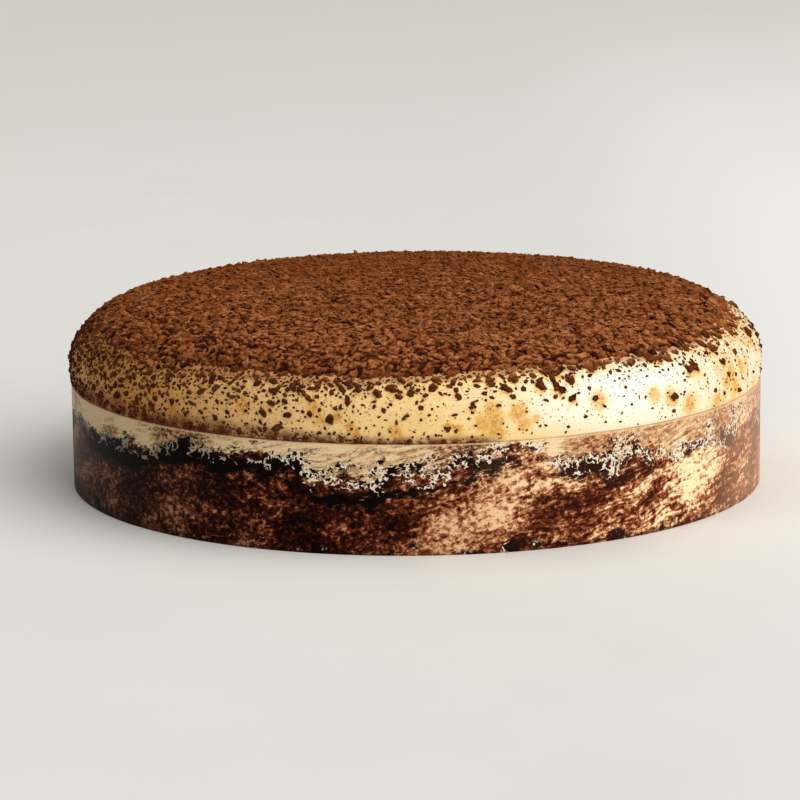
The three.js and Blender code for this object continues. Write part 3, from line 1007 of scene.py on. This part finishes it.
# Shares of the patterns in a tone or a border, and of the colours that cover what is under them
GROUND_CLOUDS, GROUND_CLUSTERS, GROUND_FLECKS, GROUND_PEPPER, GROUND_DARKER = 0.9, 0.45, 1.15, 0.5, 0.75
BRIGHT_STREAKS, BRIGHT_CLOUDS, BRIGHT_DARKER = 0.9, 0.5, 0.7
PALER = 0.08
SEAM_BRIGHT_BREAKS = 0.1
LACE_FOOT, LACE_SEAM, LACE_CALM = 0.6, 0.06, 0.1
BROWNER, BROWNER_BRIGHT = 0.03, 0.05
BAND_PAINTED_SHADE_SHARE, BLACK_SHARE, GAP_SHARE, LACE_SHADE_SHARE = 0.5, 0.96, 0.9, 0.7
PALE_PAINTED_SHADE_SHARE, SHEEN_HAZE_SHARE, TOP_EDGE_HIGHLIGHT_SHARE = 0.2, 0.4, 0.6
BAND_ROUGHNESS = (0.32, 0.46)


def band_finish():
    finish = Finish("marbled_band")
    place = finish.place()
    x, _, z = finish.parts(place)
    lit_side = finish.step(x, *BAND_LIT_SIDE_RANGE)
    flow = finish.warped(finish.turned(place, CLOUD_TURN), *FLOW_WARP)
    feathered = finish.warped(place, *FEATHER_WARP)
    flecks = finish.marbling(feathered, *FLECKS)
    clusters = finish.marbling(feathered, *CLUSTERS)
    drawn = finish.marbling(feathered, *DRAWN_SPECKS)
    pepper = finish.marbling(feathered, *PEPPER)
    clouds = finish.marbling(flow, *CLOUDS)
    streaks = finish.marbling(flow, *STREAKS)
    # Red-brown ground with fine flecks that crowd into light clouds, a darker copy as painted shade on the
    # shaded side
    ground = clouds * GROUND_CLOUDS + clusters * GROUND_CLUSTERS + flecks * GROUND_FLECKS - GROUND_DARKER
    ground = ground + lit_side * (streaks * BRIGHT_STREAKS + clouds * BRIGHT_CLOUDS - BRIGHT_DARKER)
    ground = ground + pepper.centred(GROUND_PEPPER) + finish.step(x, *PALER_RANGE) * PALER
    shaded_side = finish.ramp(ground, SHADED_SIDE_STOPS, SHADED_SIDE_GROUND)
    # Painted shade deepens towards the far end of the shaded side
    shaded_side = finish.mix(finish.step(x, *BAND_PAINTED_SHADE_RANGE) * BAND_PAINTED_SHADE_SHARE, shaded_side, BAND_PAINTED_SHADE)
    tint = finish.mix(lit_side, shaded_side, finish.ramp(ground, LIT_SIDE_STOPS, LIT_SIDE_GROUND))
    # A seam under the pale top, black or on the bright side brown, and patches like it at the foot
    # The calm end of the seam is also where the lace gets painted shade
    calm_and_shaded_end = finish.step(x, *CALM_AND_SHADE_RANGE)
    calm = calm_and_shaded_end.between(1, CALM)
    waves = finish.noise(finish.turned(place, SEAM_TURN), *SEAM_WAVES).centred(WAVE_DEPTH)
    wavelets = finish.noise(finish.place(WAVELET_SHIFT), *SEAM_WAVELETS).centred(WAVELET_DEPTH)
    depth = PALE_HEIGHT - z - (waves + wavelets) * calm - finish.step(x, *PALE_DEEP_RANGE) * PALE_DEEPER
    broken = finish.marbling(finish.place(BREAK_SHIFT), *SEAM_BREAKS)
    broken = finish.step(broken - lit_side * SEAM_BRIGHT_BREAKS, *SEAM_BREAK_EDGES)
    ragged = (drawn.centred(SEAM_RAGGED) + pepper.centred(SEAM_PEPPERED)) * calm
    seam = finish.step(depth + ragged, *SEAM_EDGES) * broken
    foot = finish.step(finish.noise(finish.place(FOOT_SHIFT), *FOOT_PATCHES), *FOOT_EDGES)
    foot = foot * finish.step(z + clusters * FOOT_RAGGED, *FOOT_HEIGHTS)
    black = finish.mix(lit_side, BLACK, DARK_BROWN)
    tint = finish.mix(finish.step(seam + foot, *BLACK_EDGES) * BLACK_SHARE, tint, black)
    # The pale top crumbles into the seam as a white lace with black gaps
    crumbs = finish.noise(feathered, *LACE_CRUMBS).centred(1)
    lace = finish.step(crumbs * crumbs, *LACE_EDGES)
    near = finish.step(depth + clusters.centred(LACE_RAGGED), *LACE_DEPTHS) + foot * LACE_FOOT
    crowded = finish.step(clusters + broken * LACE_SEAM + calm * LACE_CALM, *LACE_CROWD_EDGES)
    gaps = finish.step(near * crowded, *LACE_GAP_EDGES)
    white = finish.mix(flecks, LACE_BEIGE, LACE_WHITE)
    # Painted shade: the lace turns dull towards the shaded end
    white = finish.mix(calm_and_shaded_end * LACE_SHADE_SHARE, white, LACE_IN_PAINTED_SHADE)
    tint = finish.mix(gaps * GAP_SHARE, tint, black)
    tint = finish.mix(gaps * lace, tint, white)
    # Pale top, combed with brown streaks, and painted darker towards the shaded end as painted shade
    ragged = (pepper.centred(PALE_PEPPERED) + drawn.centred(PALE_RAGGED)) * calm
    pale = finish.step(depth + ragged, *PALE_EDGES)
    browner = finish.noise(finish.place(ZONE_SHIFT), *BROWN_ZONES).centred(BROWN_ZONE_DEPTH)
    browner = browner + lit_side * BROWNER_BRIGHT + BROWNER
    brown = finish.mix(finish.step((flecks + pepper) * 0.5, *COMB_FLECK_EDGES),
                       finish.mix(lit_side, COMB_DARK, COMB_BROWN), COMB_LIGHT)
    combed = finish.mix(finish.step((streaks + pepper) * 0.5 + browner, *COMB_EDGES), PALE, brown)
    combed = finish.mix(finish.step(x, *PALE_PAINTED_SHADE_RANGE) * PALE_PAINTED_SHADE_SHARE, combed, PALE_IN_PAINTED_SHADE)
    tint = finish.mix(pale, tint, combed)
    # Softer and paler at the lit end under a painted sheen, with a painted highlight along the top edge
    # Painted sheen at the lit end
    tint = finish.mix(finish.step(x, *SHEEN_HAZE_RANGE) * SHEEN_HAZE_SHARE, tint, SHEEN_HAZE)
    # Painted highlight along the top edge
    tint = finish.mix(finish.step(z, *TOP_EDGE_HIGHLIGHT_HEIGHTS) * TOP_EDGE_HIGHLIGHT_SHARE, tint, TOP_EDGE_HIGHLIGHT)
    return finish.surface(**{
        "Base Color": tint,
        "Roughness": flecks.between(*BAND_ROUGHNESS),
        "Specular IOR Level": 0.06,
    })


# Floor, light and camera
FLOOR_DROP = 0.1 * MM
FLOOR_SIZE = 6.0
FLOOR_CLOUDS = (70, 4, 0.6)
FLOOR_LARGE_CLOUDS = (400, 3)
FLOOR_LARGE_SHARE = 0.4
FLOOR_PALE, FLOOR_GREY = colour(242, 242, 239), colour(229, 229, 225)
FLOOR_BRIGHT, FLOOR_FAR_SHADE = colour(252, 252, 250), colour(222, 221, 214)
FLOOR_BRIGHT_RANGE = (40, 160)
FLOOR_FAR_RANGE = (150, 1500)
FLOOR_FAR_SLANT = 0.6
KEY_DIRECTION = (math.radians(-35), math.radians(32))
KEY_STRENGTH = 2.0
KEY_SPREAD = math.radians(75)
TOP_DIRECTION = (math.radians(-35), math.radians(80))
TOP_STRENGTH = 0.9
TOP_SPREAD = math.radians(90)
LAMP_COLOUR = (1, 0.98, 0.95)
SKY_COLOUR = (1, 0.99, 0.97, 1)
SKY_STRENGTH = 0.19
CAMERA_TARGET = Vector((-4.22, 0, 19.5)) * MM
CAMERA_DISTANCE = 900 * MM
CAMERA_PITCH = math.radians(11.52)
CAMERA_ROLL = math.radians(-0.61)
CAMERA_SENSOR = 36
CAMERA_LENS = 154.1


def floor_finish():
    finish = Finish("floor")
    place = finish.place()
    x, y, _ = finish.parts(place)
    clouds = finish.noise(place, *FLOOR_CLOUDS) * (1 - FLOOR_LARGE_SHARE)
    clouds = clouds + finish.noise(place, *FLOOR_LARGE_CLOUDS) * FLOOR_LARGE_SHARE
    tint = finish.mix(clouds, FLOOR_PALE, FLOOR_GREY)
    tint = finish.mix(finish.step(x, *FLOOR_BRIGHT_RANGE), tint, FLOOR_BRIGHT)
    # Greyer far back and to the left, painted shade where less light reaches
    tint = finish.mix(finish.step(y - x * FLOOR_FAR_SLANT, *FLOOR_FAR_RANGE), tint, FLOOR_FAR_SHADE)
    return finish.surface(**{"Base Color": tint, "Roughness": 0.6})


def make_floor():
    bm = bmesh.new()
    bmesh.ops.create_grid(bm, x_segments=1, y_segments=1, size=FLOOR_SIZE / 2)
    bmesh.ops.translate(bm, verts=bm.verts, vec=(0, 0, -FLOOR_DROP))
    mesh = bpy.data.meshes.new("floor")
    bm.to_mesh(mesh)
    bm.free()
    mesh.materials.append(floor_finish())
    floor = bpy.data.objects.new("floor", mesh)
    bpy.context.scene.collection.objects.link(floor)


def make_lamp(name, direction, strength, spread):
    """A wide sun lamp in a direction given by its angle round the cake and its angle up."""
    turn, rise = direction
    towards = Vector((math.cos(turn) * math.cos(rise), math.sin(turn) * math.cos(rise), math.sin(rise)))
    light = bpy.data.lights.new(name, "SUN")
    light.energy = strength
    light.angle = spread
    light.color = LAMP_COLOUR
    lamp = bpy.data.objects.new(name, light)
    lamp.rotation_euler = towards.to_track_quat("Z", "Y").to_euler()
    bpy.context.scene.collection.objects.link(lamp)


def make_light():
    make_lamp("window", KEY_DIRECTION, KEY_STRENGTH, KEY_SPREAD)
    make_lamp("ceiling", TOP_DIRECTION, TOP_STRENGTH, TOP_SPREAD)
    world = bpy.data.worlds.new("studio")
    world.use_nodes = True
    sky = world.node_tree.nodes["Background"]
    sky.inputs["Color"].default_value = SKY_COLOUR
    sky.inputs["Strength"].default_value = SKY_STRENGTH
    bpy.context.scene.world = world
    bpy.context.scene.view_settings.view_transform = "Standard"
    bpy.context.scene.view_settings.look = "Medium High Contrast"


def make_camera():
    data = bpy.data.cameras.new("camera")
    data.sensor_width = CAMERA_SENSOR
    data.lens = CAMERA_LENS
    camera = bpy.data.objects.new("camera", data)
    back = Vector((0, -math.cos(CAMERA_PITCH), math.sin(CAMERA_PITCH)))
    tilt = Matrix.Rotation(math.pi / 2 - CAMERA_PITCH, 4, "X") @ Matrix.Rotation(CAMERA_ROLL, 4, "Z")
    camera.matrix_world = Matrix.Translation(CAMERA_TARGET + back * CAMERA_DISTANCE) @ tilt
    bpy.context.scene.collection.objects.link(camera)
    bpy.context.scene.camera = camera


cocoa = cocoa_finish()
cream = make_cream(cream_finish())
make_coat(cocoa)
make_packed_crumbs(cocoa)
clumps = make_loose_cocoa(cocoa)
stain_cream(cream, *clumps)
make_band(band_finish())
make_floor()
make_light()
make_camera()
